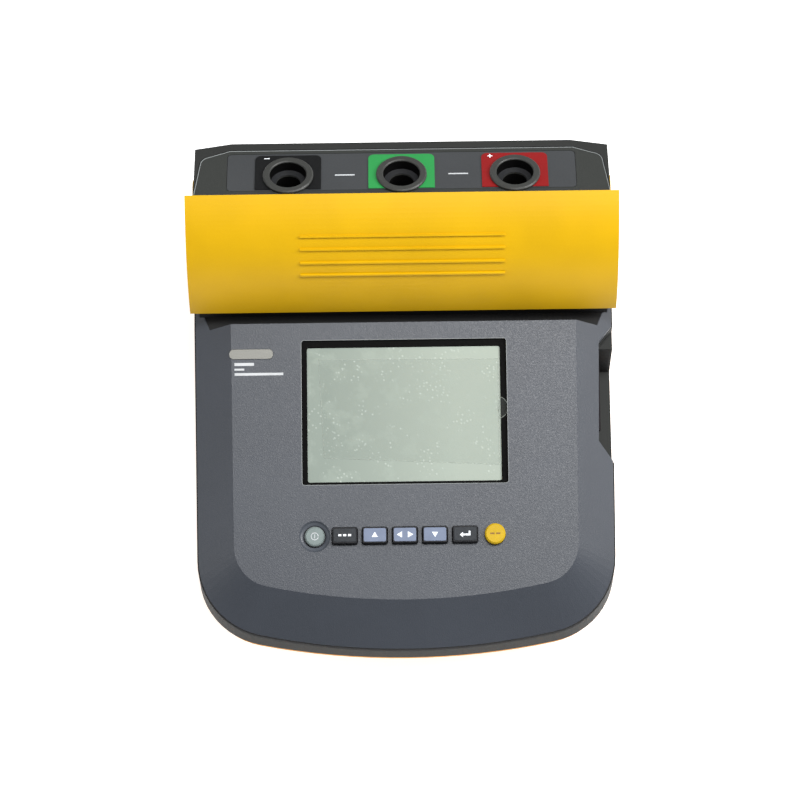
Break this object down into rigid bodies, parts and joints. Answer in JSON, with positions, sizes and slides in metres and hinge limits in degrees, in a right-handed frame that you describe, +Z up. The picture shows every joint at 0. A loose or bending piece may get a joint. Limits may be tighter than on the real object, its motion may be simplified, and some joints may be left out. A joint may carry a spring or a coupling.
{
  "type": "insulation resistance tester",
  "caption": "Bench-top insulation resistance tester: sloped key panel with display, terminal deck with safety sockets, swinging safety hood and rear carry handle.",
  "frame": {"origin": "centre of the bounding box, at the bottom of the feet", "axes": "+X to the user's right, +Y from the front edge to the rear, +Z up"},
  "size_m": [0.2444, 0.3321, 0.1612],
  "materials": {
    "case": "fine moulded grain",
    "tray": "fine moulded grain",
    "hood": "satin, fine grain",
    "seal": "matt",
    "plate": "matt",
    "label_black": "satin film",
    "label_green": "satin film",
    "label_red": "satin film",
    "socket": "satin",
    "contact": "turned",
    "display_frame": "satin",
    "display_glass": "clear, backed by a grey-green display",
    "board": "lacquered board",
    "key_pale": "matt",
    "key_dark": "matt",
    "key_blue": "matt",
    "key_yellow": "matt",
    "badge": "brushed, blank",
    "core": "varnished laminations",
    "module": "potted",
    "battery": "heat-shrink film",
    "steel": "zinc plated",
    "window": "dark infrared window",
    "handle": "fine grain",
    "rubber": "matt"
  },
  "bodies": {
    "case": {"front_cover": "case", "lower_case": "case", "base_tray": "tray", "battery_hatch": "tray", "case_seal": "seal", "terminal_plate": "plate", "terminal_label_left": "label_black", "terminal_label_centre": "label_green", "terminal_label_right": "label_red", "terminal_socket_left": "socket", "terminal_socket_centre": "socket", "terminal_socket_right": "socket", "charging_inlet": "socket", "terminal_contact_left": "contact", "terminal_contact_centre": "contact", "terminal_contact_right": "contact", "display_frame": "display_frame", "display_lens": "display_glass", "display_module": "board", "key_board": "board", "main_board": "board", "name_badge": "badge", "transformer": "core", "high_voltage_module": "module", "charger_module": "module", "battery_pack": "battery", "hatch_screw_1": "steel", "hatch_screw_2": "steel", "case_screw_1": "steel", "case_screw_2": "steel", "case_screw_3": "steel", "case_screw_4": "steel", "hood_pin_left": "steel", "hood_pin_right": "steel", "handle_screw_1": "steel", "handle_screw_2": "steel", "optical_window": "window", "carry_handle": "handle", "handle_grip": "rubber", "foot_1": "rubber", "foot_2": "rubber", "foot_3": "rubber", "foot_4": "rubber"},
    "hood": {"hood": "hood"},
    "key_power": {"key_power": "key_pale"},
    "key_function": {"key_function": "key_dark"},
    "key_up": {"key_up": "key_blue"},
    "key_sideways": {"key_sideways": "key_blue"},
    "key_down": {"key_down": "key_blue"},
    "key_enter": {"key_enter": "key_dark"},
    "key_test": {"key_test": "key_yellow"}
  },
  "joints": [
    {"name": "hood_pivot", "type": "hinge", "parent": "case", "child": "hood", "pos_m": [0, 0.1, 0.088], "axis": [-1, 0, 0], "range_deg": [0, 55]},
    {"name": "key_power_press", "type": "slide", "parent": "case", "child": "key_power", "axis": [0, 0.225, -0.9744], "range_m": [0, 0.0012], "stiffness_N_per_m": 300, "springref_m": -0.002},
    {"name": "key_function_press", "type": "slide", "parent": "case", "child": "key_function", "axis": [0, 0.225, -0.9744], "range_m": [0, 0.0012], "stiffness_N_per_m": 300, "springref_m": -0.002},
    {"name": "key_up_press", "type": "slide", "parent": "case", "child": "key_up", "axis": [0, 0.225, -0.9744], "range_m": [0, 0.0012], "stiffness_N_per_m": 300, "springref_m": -0.002},
    {"name": "key_sideways_press", "type": "slide", "parent": "case", "child": "key_sideways", "axis": [0, 0.225, -0.9744], "range_m": [0, 0.0012], "stiffness_N_per_m": 300, "springref_m": -0.002},
    {"name": "key_down_press", "type": "slide", "parent": "case", "child": "key_down", "axis": [0, 0.225, -0.9744], "range_m": [0, 0.0012], "stiffness_N_per_m": 300, "springref_m": -0.002},
    {"name": "key_enter_press", "type": "slide", "parent": "case", "child": "key_enter", "axis": [0, 0.225, -0.9744], "range_m": [0, 0.0012], "stiffness_N_per_m": 300, "springref_m": -0.002},
    {"name": "key_test_press", "type": "slide", "parent": "case", "child": "key_test", "axis": [0, 0.225, -0.9744], "range_m": [0, 0.0012], "stiffness_N_per_m": 300, "springref_m": -0.002}
  ]
}
